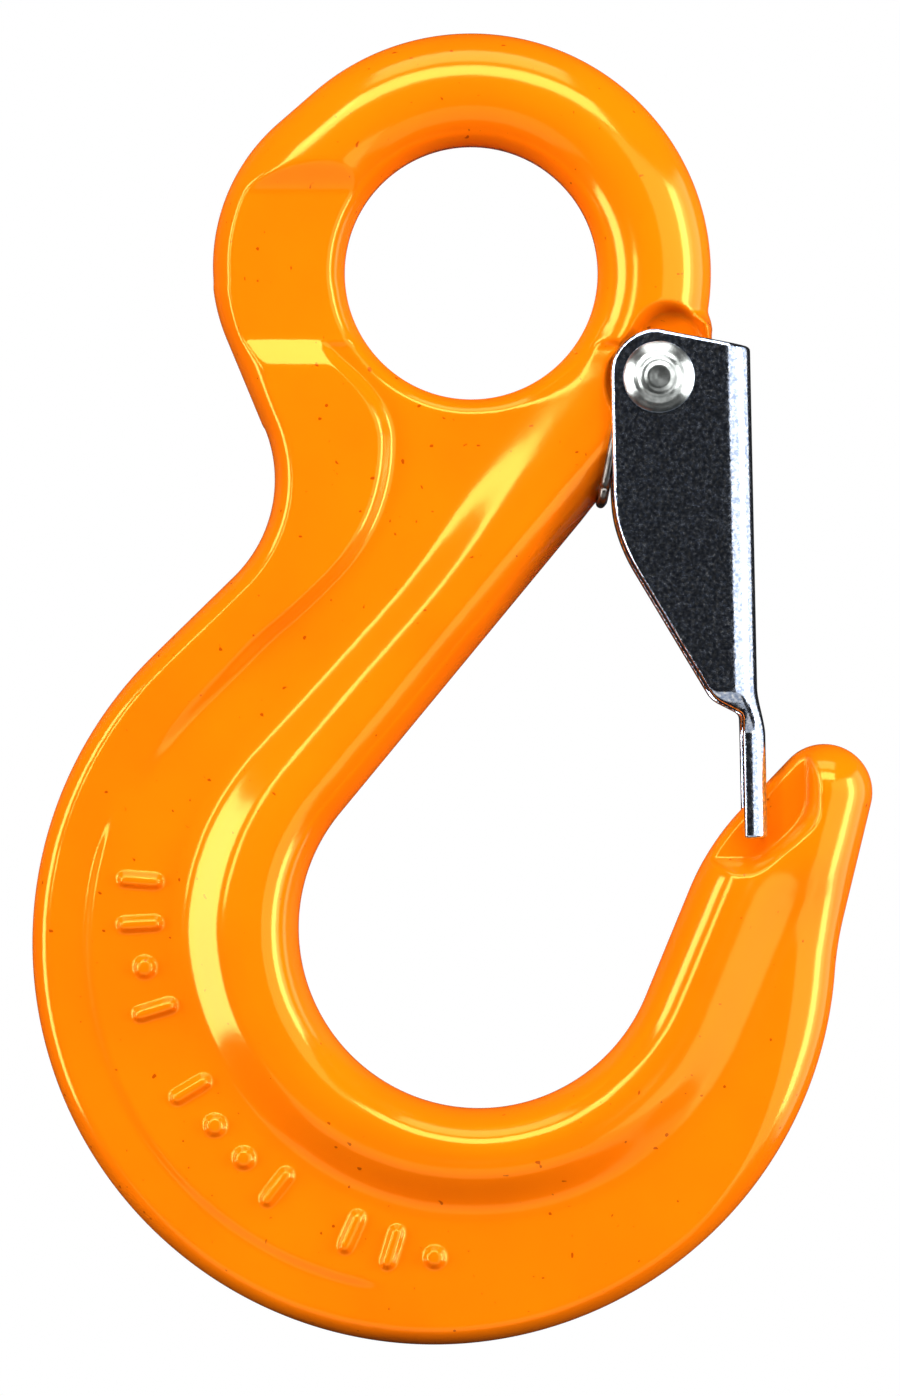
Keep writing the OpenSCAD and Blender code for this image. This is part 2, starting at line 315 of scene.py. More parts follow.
# how far the web falls towards the outer edge, the band beside the edge, and where along the hook
WEB_TAPER, TAPER_BAND, TAPER_LOW = 0.3, (10.5, 1.5), (-62, -92)
WEB_STEP, STEP_BAND, STEP_LOW, STEP_LEFT = 0.7, (10.6, 8.6), (-86, -100), (-13, -21)
# the rim's width from the outer edge at each height, where it rises and ends, and its flank
RIM_WIDTH = [(-83, 11.8), (-58, 11.0), (-46, 16.1), (-33, 19.1), (-22.4, 20.3), (-16.4, 16.5), (-10, 12.0)]
RIM_UP = (-92, -58)
RIM_RIGHT = 10
RIM_FLANK = (1.5, -1.5)


def web_height(p, marked):
    """Height behind the bead: a flat that tapers and steps down outwards, a rim at the neck, and marks."""
    web = mix(WEB_H, NOSE_WEB_H, p.nose)
    web = web - WEB_TAPER * (1 - p.nose) * rise(p.from_outer, *TAPER_BAND) * rise(p.z, *TAPER_LOW)
    web = web - WEB_STEP * rise(p.from_outer, *STEP_BAND) * rise(p.z, *STEP_LOW) * rise(p.x, *STEP_LEFT)
    rim = mix(web, RIM_H, rise(p.z, *RIM_UP) * (p.x < RIM_RIGHT))
    web = mix(web, rim, rise(p.from_outer - ramp(p.z, RIM_WIDTH), *RIM_FLANK))
    if marked:
        web = web + MARK_H * rise(mark_depth(p.x, p.z), *MARK_FLANK)
    return web


SLOPE_EASE = 0.7
CREST_FILLET, FOOT_FILLET = 1.2, 0.7
TIP_H = 8.8
TIP_REACH = (9, 23)  # mm from the middle of the tip


def height_of(p, marked):
    """Half-thickness before the edges are rounded."""
    crest, shoulder, foot = bead_section(p)
    web = web_height(p, marked)
    slope = (p.from_inner - shoulder) / (foot - shoulder)
    slope = mix(slope, smooth(slope), SLOPE_EASE * (np.abs(slope - 0.5) < 0.5))
    bead = smin(crest, mix(crest, web, slope), CREST_FILLET)
    from_tip = np.hypot(p.x - TIP[0], p.z - TIP[1])
    return mix(TIP_H, smax(web, bead, FOOT_FILLET), rise(from_tip, *TIP_REACH))


# the outer edge's radius grows towards the eye, and both edges' radii grow to the tip's
INNER_EDGE_R = 7.0
OUTER_EDGE_R, EYE_EDGE_R, EYE_EDGE = 3.6, 6.8, (-24, 0)
TIP_TURN = (-55, -10)
LUG_EDGE_R, LUG_EDGE_DEPTH, LUG_SURROUND = 1.6, 3, 3.2


def edge_rounding(p):
    """What is left of the squared height near the outline: 0 on it, and 1 past the edge's radius."""
    tip = rise(p.turn, *TIP_TURN) * p.nose_side
    inner = mix(INNER_EDGE_R, TIP_R, tip)
    outer = mix(mix(OUTER_EDGE_R, EYE_EDGE_R, rise(p.z, *EYE_EDGE)), TIP_R, tip)
    edge = np.where(p.from_inner < p.from_outer, inner, outer)
    near_lug = np.hypot(p.x - PIN[0], p.z - PIN[1]) < LUG_R + LUG_SURROUND
    edge = np.where(near_lug & (p.depth < LUG_EDGE_DEPTH), LUG_EDGE_R, edge)
    return 1 - (1 - np.minimum(p.depth / edge, 1)) ** 2


# near the eye the body is capped like the bar, and fades out upwards; CAP_RISE, fade, sink and fillets are
# of squared heights
CAP_H, CAP_RISE, CAP_BOTTOM = BAR_R - 0.2, 12, -60
BODY_FADE, BODY_FADE_LENGTH = 110, 8
BODY_TOP, BODY_TOP_LEFT, TOWARDS_LEFT = -9, -3, (0, -10)
# under the eye the bar is pressed down to the body, less so upwards and on the lug's side
LUG_SIDE, LUG_SIDE_LIFT = (23, 35), 6.0
UPWARDS, UPWARDS_LIFT = (-13, -8), 8
DOWNWARDS, DOWNWARDS_SINK = (-13, -19), 14
EYE_FILLET, BODY_FILLET = 14.0, 8.0


def body_and_eye(p, height):
    """Squared height of the body and the eye's round bar joined together."""
    past_ring = np.hypot(p.x, p.z) - RING_R
    inside, outside = np.minimum(past_ring, 0), np.maximum(past_ring, 0)
    body = height**2 * edge_rounding(p)
    cap = CAP_H**2 - inside**2 + CAP_RISE * outside**2
    body = np.where(p.z > CAP_BOTTOM, smin(body, cap, BODY_FILLET), body)
    top = mix(BODY_TOP, BODY_TOP_LEFT, rise(p.x, *TOWARDS_LEFT))
    body = body - BODY_FADE * rise(p.z, top, top + BODY_FADE_LENGTH)

    from_eye_edge = OUTLINE.depth(p.x, p.z, "e")
    on_edge = (BAR_R - np.minimum(from_eye_edge, BAR_R)) ** 2
    ring = BAR_R**2 - np.maximum(np.where(from_eye_edge < FAR - 1, on_edge, outside**2), inside**2)
    lug_side = rise(p.x, *LUG_SIDE)
    press = height + LUG_SIDE_LIFT * lug_side + UPWARDS_LIFT * rise(p.z, *UPWARDS)
    press = press**2 - DOWNWARDS_SINK * (1 - lug_side) * rise(p.z, *DOWNWARDS)
    ring = np.where(p.z < 0, smin(ring, press, BODY_FILLET), ring)
    return smax(body, ring, EYE_FILLET)


FLAT_H = 6.9
FLAT_BOTTOM, FLAT_RIGHT, FLAT_FILLET = -24, -12, 5.0
# where the flat climbs back to the eye's bar, and by how much
UPPER_RAMP, UPPER_RAMP_H = (12.8, 20.3), 3.2
UPPER_END, UPPER_END_H = (19.5, 25.5), 8
LOWER_RAMP, LOWER_RAMP_H = (-11.3, -16.5), 1.75
EYE_SIDE, EYE_SIDE_H = (-19, -13), 12


def flats(p):
    """Height of the flats across the left side of the eye, with a ramp at each end."""
    upper = UPPER_RAMP_H * rise(p.z, *UPPER_RAMP) + UPPER_END_H * rise(p.z, *UPPER_END)
    lower = LOWER_RAMP_H * climb(p.z, *LOWER_RAMP)
    return FLAT_H + upper + lower + EYE_SIDE_H * rise(p.x, *EYE_SIDE)


POCKET_R = 7.8
POCKET_TOP, POCKET_TOP_R = (33.7, -12.0), 5.4
POCKET_FLANK, POCKET_FILLET = 45, 10.0  # mm2 per mm beyond the pocket, and mm2


def pocket(p):
    """Squared height in and round the pocket beside the lug, where the spring's coil sits."""
    up = np.array(POCKET_TOP) - PIN
    u, v = p.x - PIN[0], p.z - PIN[1]
    along = np.clip((u * up[0] + v * up[1]) / up.dot(up), 0, 1)
    beyond = np.hypot(u - along * up[0], v - along * up[1]) - mix(POCKET_R, POCKET_TOP_R, along)
    return LUG_H**2 + POCKET_FLANK * np.maximum(beyond, 0)


RECESS_WALL = 57.0
RECESS_FLOOR, RECESS_DROP, DROP_TOWARDS_WALL = -99.6, 6.0, (47, 58)
RECESS_LEFT, RECESS_TOP = 30, -70
RECESS_CORNER, RECESS_FLANK, RECESS_FILLET = 5.0, 30, 14.0


def recess(p):
    """Squared height in and round the recess beside the nose, which the latch's fork straddles."""
    floor = (p.z - RECESS_FLOOR) - RECESS_DROP * rise(p.x, *DROP_TOWARDS_WALL)
    within = smin(RECESS_WALL - p.x, floor, RECESS_CORNER)
    return NOSE_H**2 + RECESS_FLANK * np.maximum(-within, 0)


def forging_field(x, z, marked):
    """Half-thickness squared over the plane of the hook, negative outside its outline."""
    p = Plan(x, z)
    field = body_and_eye(p, height_of(p, marked))
    on_flats = (z > FLAT_BOTTOM) & (x < FLAT_RIGHT)
    field = np.where(on_flats, smin(field, flats(p) ** 2, FLAT_FILLET), field)
    field = smin(field, pocket(p), POCKET_FILLET)
    on_nose = (x > RECESS_LEFT) & (z < RECESS_TOP)
    return np.where(on_nose, smin(field, recess(p), RECESS_FILLET), field)


# ---------------------------------------------------------------- meshing


def blurred(a, sigma):
    """A 2-D array smoothed by a Gaussian, with its edges repeated."""
    n = int(3 * sigma) + 1
    k = np.exp(-0.5 * (np.arange(-n, n + 1) / sigma) ** 2)
    k /= k.sum()
    for axis in (0, 1):
        pad = [(n, n) if i == axis else (0, 0) for i in (0, 1)]
        b = np.pad(a, pad, mode="edge")
        a = sum(w * np.take(b, range(i, i + a.shape[axis]), axis=axis) for i, w in enumerate(k))
    return a


def quads_of(field, low, step):
    """Points and quads of the surface where a field on a regular grid is zero, in mm."""
    outside = 50.0
    grid = openvdb.FloatGrid(outside)
    grid.copyFromArray(np.ascontiguousarray(-field, dtype=np.float32))
    points, quads = grid.convertToQuads(0.0)
    return points * step + np.array(low), quads


def mesh_object(name, points, faces, mat):
    """A smooth-shaded object from points in mm and faces that all have as many corners."""
    mesh = bpy.data.meshes.new(name)
    mesh.vertices.add(len(points))
    mesh.vertices.foreach_set("co", (np.asarray(points) * MM).astype(np.float32).ravel())
    faces = np.asarray(faces)
    n, k = faces.shape
    mesh.loops.add(n * k)
    mesh.loops.foreach_set("vertex_index", faces.astype(np.int32).ravel())
    mesh.polygons.add(n)
    mesh.polygons.foreach_set("loop_start", np.arange(0, n * k, k, dtype=np.int32))
    mesh.update(calc_edges=True)
    mesh.validate()
    mesh.polygons.foreach_set("use_smooth", np.ones(len(mesh.polygons), dtype=bool))
    obj = bpy.data.objects.new(name, mesh)
    bpy.context.scene.collection.objects.link(obj)
    obj.data.materials.append(mat)
    return obj


class Plane:
    """A field over X and Z that can be read at any point, with its slopes along X and Z."""

    PARTS = ("f", "gx", "gz")

    def __init__(self, field, low, step):
        self.f = field
        self.gx, self.gz = np.gradient(field, step)
        self.low, self.step = low, step

    def read(self, x, z, which="f"):
        a = getattr(self, which)
        inside = 1.001
        u = np.clip((x - self.low[0]) / self.step, 0, a.shape[0] - inside)
        v = np.clip((z - self.low[1]) / self.step, 0, a.shape[1] - inside)
        i, j = u.astype(int), v.astype(int)
        s, t = u - i, v - j
        return mix(mix(a[i, j], a[i + 1, j], s), mix(a[i, j + 1], a[i + 1, j + 1], s), t)


PLANE_STEP, PLANE_MARGIN, PLANE_BLUR = 0.25, 3, 1.1  # the blur is in steps
FORGING_STEP, QUICK_FORGING_STEP, FORGING_MARGIN = 0.42, 0.9, 2
FORGING_HALF = 13
EYE_LIP, PIN_LIP, BORE_FILLET = 20, 12, 3.0  # mm2 per mm out from each bore, and mm2
PULLS, LONGEST_PULL = 3, 0.3


def outside_bores(x, z):
    """Zero on the walls of the eye and the rivet's hole, and negative in them."""
    from_eye = np.hypot(x, z) - EYE_R
    from_pin = np.hypot(x - PIN[0], z - PIN[1]) - (RIVET_R + PIN_PLAY)
    return np.minimum(from_eye * EYE_LIP, from_pin * PIN_LIP)


def forging_mesh(name, mat):
    step = FORGING_STEP
    low, high = (np.array(corner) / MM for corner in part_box("hook_body"))
    x_fine = np.arange(low[0] - PLANE_MARGIN, high[0] + PLANE_MARGIN, PLANE_STEP)
    z_fine = np.arange(low[2] - PLANE_MARGIN, high[2] + PLANE_MARGIN, PLANE_STEP)
    gx, gz = np.meshgrid(x_fine, z_fine, indexing="ij")
    front, back = (
        Plane(blurred(forging_field(gx, gz, marked), PLANE_BLUR), (x_fine[0], z_fine[0]), PLANE_STEP)
        for marked in (True, False)
    )

    xs = np.arange(low[0] - FORGING_MARGIN, high[0] + FORGING_MARGIN, step)
    zs = np.arange(low[2] - FORGING_MARGIN, high[2] + FORGING_MARGIN, step)
    ys = np.arange(-FORGING_HALF, FORGING_HALF + step, step)
    mx, mz = np.meshgrid(xs, zs, indexing="ij")
    front_grid, back_grid = front.read(mx, mz), back.read(mx, mz)
    bores = outside_bores(mx, mz)
    field = np.empty((len(xs), len(ys), len(zs)), np.float32)
    for j, y in enumerate(ys):
        field[:, j] = smin((front_grid if y < 0 else back_grid) - y * y, bores, BORE_FILLET)
    points, quads = quads_of(field, (xs[0], ys[0], zs[0]), step)
    # pull every point that isn't in a bore on to the surface itself
    for _ in range(PULLS):
        x, y, z = points.T
        on_front = y < 0
        f, dx, dz = (np.where(on_front, front.read(x, z, w), back.read(x, z, w)) for w in Plane.PARTS)
        f, dy = f - y * y, -2 * y
        free = outside_bores(x, z) > f + BORE_FILLET
        slope = np.sqrt(dx * dx + dy * dy + dz * dz + 1e-9)
        move = np.clip(f / slope, -LONGEST_PULL, LONGEST_PULL) / slope * free
        points = points - np.stack([dx * move, dy * move, dz * move], 1)
    return mesh_object(name, points, quads[:, ::-1], mat)


# ---------------------------------------------------------------- materials


def material(name, colour, metallic, roughness):
    """A new material and its shader."""
    mat = bpy.data.materials.new(name)
    mat.use_nodes = True
    shader = mat.node_tree.nodes["Principled BSDF"]
    shader.inputs["Base Color"].default_value = (*colour, 1)
    shader.inputs["Metallic"].default_value = metallic
    shader.inputs["Roughness"].default_value = roughness
    return mat, shader


def noise(mat, scale, detail=2, turned=None, stretch=None):
    """A 3-D noise over the piece's own coordinates, turned and squeezed along its axes if asked."""
    nodes, links = mat.node_tree.nodes, mat.node_tree.links
    source = nodes.new("ShaderNodeTexCoord").outputs["Object"]
    tex = nodes.new("ShaderNodeTexNoise")
    tex.inputs["Scale"].default_value = scale
    tex.inputs["Detail"].default_value = detail
    if stretch:
        mapping = nodes.new("ShaderNodeMapping")
        mapping.inputs["Rotation"].default_value = turned
        mapping.inputs["Scale"].default_value = stretch
        links.new(source, mapping.inputs["Vector"])
        source = mapping.outputs["Vector"]
    links.new(source, tex.inputs["Vector"])
    return tex.outputs["Fac"]


def grey(tone):
    return (tone, tone, tone)


def colour_ramp(mat, value, *stops):
    """Colours that follow a value, through (value, colour) stops."""
    node = mat.node_tree.nodes.new("ShaderNodeValToRGB")
    for element, (at, colour) in zip(node.color_ramp.elements, stops):
        element.position = at
        element.color = (*colour, 1)
    for at, colour in stops[2:]:
        node.color_ramp.elements.new(at).color = (*colour, 1)
    mat.node_tree.links.new(value, node.inputs["Fac"])
    return node.outputs["Color"]


def times(mat, a, b):
    """Two colours multiplied."""
    nodes, links = mat.node_tree.nodes, mat.node_tree.links
    node = nodes.new("ShaderNodeMix")
    node.data_type = "RGBA"
    node.blend_type = "MULTIPLY"
    node.inputs["Factor"].default_value = 1.0
    first, second = (s for s in node.inputs if s.type == "RGBA")
    links.new(a, first)
    links.new(b, second)
    return next(s for s in node.outputs if s.type == "RGBA")


def bump(mat, height, strength, distance):
    node = mat.node_tree.nodes.new("ShaderNodeBump")
    node.inputs["Strength"].default_value = strength
    node.inputs["Distance"].default_value = distance
    mat.node_tree.links.new(height, node.inputs["Height"])
    return node.outputs["Normal"]


def lacquer():
    """Glossy orange with fine dark specks, and highlights that turn yellow."""
    mat, shader = material("orange_lacquer", (0.93, 0.17, 0.001), metallic=0, roughness=0.13)
    shader.inputs["Specular IOR Level"].default_value = 1.0
    shader.inputs["Specular Tint"].default_value = (1.0, 0.84, 0.16, 1)
    tone = colour_ramp(mat, noise(mat, 38, detail=3), (0.3, (0.92, 0.165, 0.001)), (0.7, (0.97, 0.19, 0.001)))
    specks = colour_ramp(mat, noise(mat, 900, detail=0), (0.14, (0.5, 0.35, 0.2)), (0.18, grey(1)))
    links = mat.node_tree.links
    links.new(times(mat, tone, specks), shader.inputs["Base Color"])
    links.new(bump(mat, noise(mat, 140), strength=0.1, distance=0.0006), shader.inputs["Normal"])
    return mat


def plated_sheet():
    """Zinc plate with a fine spangle and faint scratches."""
    mat, shader = material("zinc_plated_sheet", (0.45, 0.48, 0.54), metallic=1, roughness=0.22)
    tones = (0.36, (0.3, 0.37, 0.52)), (0.56, (0.58, 0.64, 0.76)), (0.7, (0.95, 0.97, 1.0))
    spangle = colour_ramp(mat, noise(mat, 1700, detail=3), *tones)
    along = noise(mat, 420, turned=(0, 0.6, 0), stretch=(1, 1, 14))
    scratches = colour_ramp(mat, along, (0.62, grey(1)), (0.72, grey(1.5)))
    rough = colour_ramp(mat, noise(mat, 1500, detail=3), (0.35, grey(0.1)), (0.7, grey(0.22)))
    links = mat.node_tree.links
    links.new(times(mat, spangle, scratches), shader.inputs["Base Color"])
    links.new(rough, shader.inputs["Roughness"])
    links.new(bump(mat, noise(mat, 1900), strength=0.2, distance=0.00012), shader.inputs["Normal"])
    return mat


def plated_rivet():
    """Duller zinc plate, with the tones in larger spots."""
    mat, shader = material("zinc_plated_rivet", grey(0.62), metallic=1, roughness=0.28)
    tone = colour_ramp(mat, noise(mat, 500, detail=3), (0.35, (0.32, 0.34, 0.33)), (0.65, (0.62, 0.65, 0.63)))
    links = mat.node_tree.links
    links.new(tone, shader.inputs["Base Color"])
    links.new(bump(mat, noise(mat, 600), strength=0.2, distance=0.0002), shader.inputs["Normal"])
    return mat


def spring_steel():
    """Dark, slightly uneven wire."""
    mat, shader = material("spring_steel", (0.16, 0.15, 0.14), metallic=1, roughness=0.32)
    tone = colour_ramp(mat, noise(mat, 700), (0.3, (0.09, 0.085, 0.08)), (0.7, (0.24, 0.22, 0.2)))
    mat.node_tree.links.new(tone, shader.inputs["Base Color"])
    return mat


# ---------------------------------------------------------------- the latch, upright with the rivet at (0, 0)

SHEET = 2.0
LATCH_HALF, FORK_HALF = 13.5, 9.5
WEB_OUT, FORK_OUT = 15.6, 16.9
LEAN = math.radians(1.2)
NARROWS = (-53.0, -60.5)  # the cheeks close in to the fork between these heights
NARROWS_EASE = 0.6
NARROWS_SLOPE = 0.88  # keeps the sheet's thickness where it slants
LATCH_BEND, FORK_BEND = 3.4, 1.7
CHEEK_LEFT = -8.3
BROW_TOP, BROW_FALL = 8.2, 0.215
ELBOW_TOP, ELBOW, ELBOW_IN = -15, (-8.3, -25.6), (0.868, 0.497)  # ELBOW_IN points into the cheek
ELBOW_FILLET = 4.0
FOOT_CORNER, FOOT_SLANT = (8.2, -54.6), 0.54
FORK_DEPTH = 3.9
FORK_TOP, FORK_END = NARROWS[0] + 5, -78.2
SLOT_TOP, SLOT_HALF, SLOT_CORNER = -67.3, NOSE_H + 0.7, 1.0
CUT_FILLET, END_FILLET, SLOT_FILLET, HOLE_FILLET = 0.8, 0.6, 0.5, 0.3


def cheek_profile(x, z):
    """Distance into the latch's outline as seen from the side."""
    head = np.where((x < 0) | (z > 0), -CHEEK_LEFT - np.hypot(np.minimum(x, 0), np.maximum(z, 0)), FAR)
    brow = BROW_TOP - (z + BROW_FALL * np.maximum(x, 0))
    slant = (x - ELBOW[0]) * ELBOW_IN[0] + (z - ELBOW[1]) * ELBOW_IN[1]
    left = smin(x - CHEEK_LEFT, np.where(z < ELBOW_TOP, slant, FAR), ELBOW_FILLET)
    side = smin(left, np.minimum(head, brow), CUT_FILLET)
    foot = (z - FOOT_CORNER[1]) + FOOT_SLANT * (x - FOOT_CORNER[0])
    fork = x - (FORK_OUT - FORK_DEPTH)
    side = np.where(z < FORK_TOP, smax(smin(side, foot, CUT_FILLET), fork, CUT_FILLET), side)
    return smin(side, z - FORK_END, END_FILLET)


def latch_field(x, y, z):
    """Distance into the folded sheet, positive in the metal."""
    down = mix(climb(z, *NARROWS), rise(z, *NARROWS), NARROWS_EASE)
    # the middle of the sheet is a U: two cheeks, and a web joined to them by bends
    from_web = mix(WEB_OUT, FORK_OUT, down) - SHEET / 2 - x
    from_cheek = mix(LATCH_HALF, FORK_HALF, down) - SHEET / 2 - np.abs(y)
    bend = mix(LATCH_BEND, FORK_BEND, down)
    corner = bend - np.hypot(np.maximum(bend - from_web, 0), np.maximum(bend - from_cheek, 0))
    sides = np.minimum(
        np.where(from_web < bend, corner, from_cheek), np.where(from_cheek < bend, corner, from_web)
    )
    skin = SHEET / 2 - np.abs(np.minimum(corner, sides))
    skin = skin * np.where((z < NARROWS[0]) & (z > NARROWS[1]), NARROWS_SLOPE, 1.0)
    cut = smin(skin, cheek_profile(x, z), CUT_FILLET)
    cut = smin(cut, smax(np.abs(y) - SLOT_HALF, z - SLOT_TOP, SLOT_CORNER), SLOT_FILLET)
    return smin(cut, np.hypot(x, z) - RIVET_R - PIN_PLAY, HOLE_FILLET)


def lean(points):
    """From the upright latch to its place in the row."""
    x, y, z = np.asarray(points).T
    cos, sin = math.cos(LEAN), math.sin(LEAN)
    return np.stack([x * cos - z * sin + PIN[0], y, x * sin + z * cos + PIN[1]], 1)


LATCH_STEP, QUICK_LATCH_STEP = 0.3, 0.6
LATCH_GRID = (-10, 19), (-15, 15), (-80, 11)
LATCH_PULLS, LONGEST_LATCH_PULL = 2, 0.2
PROBE = 0.02  # how far either side of a point its slope is measured
LEAST_STEEPNESS = 0.3


def latch_mesh(name, mat):
    step = LATCH_STEP
    xs, ys, zs = (np.arange(low, high + step, step) for low, high in LATCH_GRID)
    field = latch_field(xs[:, None, None], ys[None, :, None], zs[None, None, :])
    points, quads = quads_of(field, (xs[0], ys[0], zs[0]), step)
    # pull every point on to the surface itself
    for _ in range(LATCH_PULLS):
        sides = [latch_field(*(points + d).T) - latch_field(*(points - d).T) for d in PROBE * np.eye(3)]
        slope = np.stack(sides, 1) / (2 * PROBE)
        steepness = np.maximum((slope * slope).sum(1), LEAST_STEEPNESS)
        pull = np.clip(latch_field(*points.T), -LONGEST_LATCH_PULL, LONGEST_LATCH_PULL) / steepness
        points = points - slope * pull[:, None]
    return mesh_object(name, lean(points), quads[:, ::-1], mat)


# ---------------------------------------------------------------- the rivet

HEAD_R, HEAD_RIM, HEAD_DOME, HEAD_EDGE = 6.0, 0.9, 2.4, 0.25
SEAT = LATCH_HALF + 0.05
DOME_POINTS = 40
# marks left by spinning the front head: rings, and a dimple with a lip round it
SPUN_RIM = 0.3
SPUN_H, SPUN_WAVES, SPUN_AT, SPUN_REACH = 0.05, 4.6, 3.3, 1.5
DIMPLE_DEPTH, DIMPLE_R = 0.35, 1.3
LIP_H, LIP_AT, LIP_REACH = 0.06, 2.0, 0.45


def hump(r, at, reach):
    return math.exp(-(((r - at) / reach) ** 2))


def rivet_profile():
    """Shank and both heads from front to back, as (radius, y)."""
    ball = (HEAD_R**2 + HEAD_DOME**2) / (2 * HEAD_DOME)
    dome = []
    for i in range(DOME_POINTS + 1):
        r = HEAD_R * (1 - i / DOME_POINTS)
        dome.append((r, SEAT + HEAD_RIM + HEAD_DOME - ball + math.sqrt(ball**2 - r * r)))
    edge = [(RIVET_R, SEAT), (HEAD_R - HEAD_EDGE, SEAT), (HEAD_R, SEAT + HEAD_EDGE)]
    front = []
    for r, y in dome:
        if r < HEAD_R - SPUN_RIM:
            y += SPUN_H * math.sin(r * SPUN_WAVES) * hump(r, SPUN_AT, SPUN_REACH)
            y += LIP_H * hump(r, LIP_AT, LIP_REACH) - DIMPLE_DEPTH * hump(r, 0, DIMPLE_R)
        front.append((r, -y))
    return front[::-1] + [(r, -y) for r, y in edge[::-1]] + edge + dome


def turned_mesh(name, profile, mat, sides=96):
    """Turns (radius, y) points about the pin's axis; both ends lie on the axis."""
    points, faces = [], []
    n = len(profile)
    for k in range(sides):
        a = 2 * math.pi * k / sides
        points += [(PIN[0] + r * math.cos(a), y, PIN[1] + r * math.sin(a)) for r, y in profile]
        k2 = (k + 1) % sides
        faces += [(k * n + i, k2 * n + i, k2 * n + i + 1, k * n + i + 1) for i in range(n - 1)]
    return mesh_object(name, points, faces, mat)


# ---------------------------------------------------------------- the spring

WIRE_D = 1.7
WIRE_PLAY = 0.05
COIL_R = 5.3
# from the middle plane to the coil's turn beside the lug, and to the one beside the latch's cheek
COIL_FIRST = LUG_H + 0.12 + WIRE_D / 2
COIL_LAST = LATCH_HALF - SHEET - 0.15 - WIRE_D / 2
LOOP_UP = 69.2  # up the throat's straight edge, from where the bowl ends
LEG_END = -28.0
LOOP_BEND = 2.2
LEG_POINTS, COIL_POINTS, SIDE_POINTS, BEND_POINTS, BAR_POINTS = 13, 110, 11, 10, 5
ASKEW = (0.3, 1, 0.2)  # any way that the wire doesn't start out in


def tube_mesh(name, path, mat, sides=20):
    """The spring's wire along a list of points, with flat ends."""
    p = np.array(path)
    t = np.gradient(p, axis=0)
    t /= np.linalg.norm(t, axis=1)[:, None]
    side = np.cross(t[0], ASKEW)
    side /= np.linalg.norm(side)
    a = 2 * math.pi * np.arange(sides) / sides
    rings = []
    for i in range(len(p)):
        side = side - t[i] * side.dot(t[i])
        side /= np.linalg.norm(side)
        up = np.cross(t[i], side)
        rings.append(p[i] + WIRE_D / 2 * (np.cos(a)[:, None] * side + np.sin(a)[:, None] * up))
    points = np.concatenate(rings + [p[:1], p[-1:]])
    n, m = len(p), sides
    faces = []
    for i in range(n - 1):
        for k in range(m):
            k2 = (k + 1) % m
            faces.append((i * m + k, i * m + k2, (i + 1) * m + k2, (i + 1) * m + k))
    # flat ends, as quads round the wire's middle
    for middle, first, flip in ((n * m, 0, True), (n * m + 1, (n - 1) * m, False)):
        for k in range(0, m, 2):
            q = (first + k, first + (k + 1) % m, first + (k + 2) % m, middle)
            faces.append(q[::-1] if flip else q)
    return mesh_object(name, points, faces, mat)


def on_coil(a):
    return np.array([COIL_R * math.cos(a), COIL_R * math.sin(a)])


def from_pin(q, y):
    return (q[0] + PIN[0], y, q[1] + PIN[1])


def spring_paths():
    """One coil with its free leg and its side of the loop, and the loop's cross bar, on the front side."""
    bowl_end = np.array(BOWL) - BOWL_R * THROAT_OUT
    loop = bowl_end - THROAT_DOWN * LOOP_UP + (WIRE_D / 2 + WIRE_PLAY) * THROAT_OUT - PIN
    web_inside = WEB_OUT - SHEET - LEG_END * math.sin(LEAN)
    leg_end = np.array([web_inside - WIRE_D / 2 - WIRE_PLAY, LEG_END])
    # angles on the coil where the loop's side and the leg touch it
    to_loop, to_leg = np.linalg.norm(loop), np.linalg.norm(leg_end)
    loop_a = math.atan2(loop[1], loop[0]) + 2 * math.pi - math.acos(COIL_R / to_loop)
    leg_a = math.atan2(leg_end[1], leg_end[0]) + math.acos(COIL_R / to_leg)
    turn = loop_a - leg_a + 2 * math.pi
    along = (loop - on_coil(loop_a)) / np.linalg.norm(loop - on_coil(loop_a))
    stop = loop - LOOP_BEND * along

    coil = [from_pin(mix(leg_end, on_coil(leg_a), i / LEG_POINTS), -COIL_FIRST) for i in range(LEG_POINTS)]
    for t in np.linspace(0, 1, COIL_POINTS):
        coil.append(from_pin(on_coil(leg_a + turn * t), -mix(COIL_FIRST, COIL_LAST, t)))
    for i in range(1, SIDE_POINTS + 1):
        coil.append(from_pin(mix(on_coil(loop_a), stop, i / SIDE_POINTS), -COIL_LAST))

    bar = []
    for a in np.linspace(0, math.pi / 2, BEND_POINTS):
        corner = loop - LOOP_BEND * (1 - math.sin(a)) * along
        bar.append(from_pin(corner, -COIL_LAST + LOOP_BEND * (1 - math.cos(a))))
    for i in range(1, BAR_POINTS + 1):
        bar.append(from_pin(loop, (-COIL_LAST + LOOP_BEND) * (1 - i / BAR_POINTS)))
    bar += [(x, -y, z) for x, y, z in bar[-2::-1]]
    return coil, bar


# ---------------------------------------------------------------- put it together

ORANGE, ZINC, RIVET, WIRE = lacquer(), plated_sheet(), plated_rivet(), spring_steel()

forging = forging_mesh("forged_hook", ORANGE)
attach(forging, "hook")
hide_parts("hook_body")

sheet = latch_mesh("folded_latch", ZINC)
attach(sheet, "latch")
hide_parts("latch")

rivet = turned_mesh("spun_rivet", rivet_profile(), RIVET)
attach(rivet, "latch")
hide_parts("latch_rivet")

coil_path, bar_path = spring_paths()
bar = tube_mesh("spring_bar", bar_path, WIRE)
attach(bar, "hook")
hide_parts("latch_spring")
for side, sign in (("front", 1), ("back", -1)):
    coil = tube_mesh("spring_coil_" + side, [(x, sign * y, z) for x, y, z in coil_path], WIRE)
    if sign < 0:
        coil.data.flip_normals()
    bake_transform(coil)

# ---------------------------------------------------------------- camera, floor and light, in metres

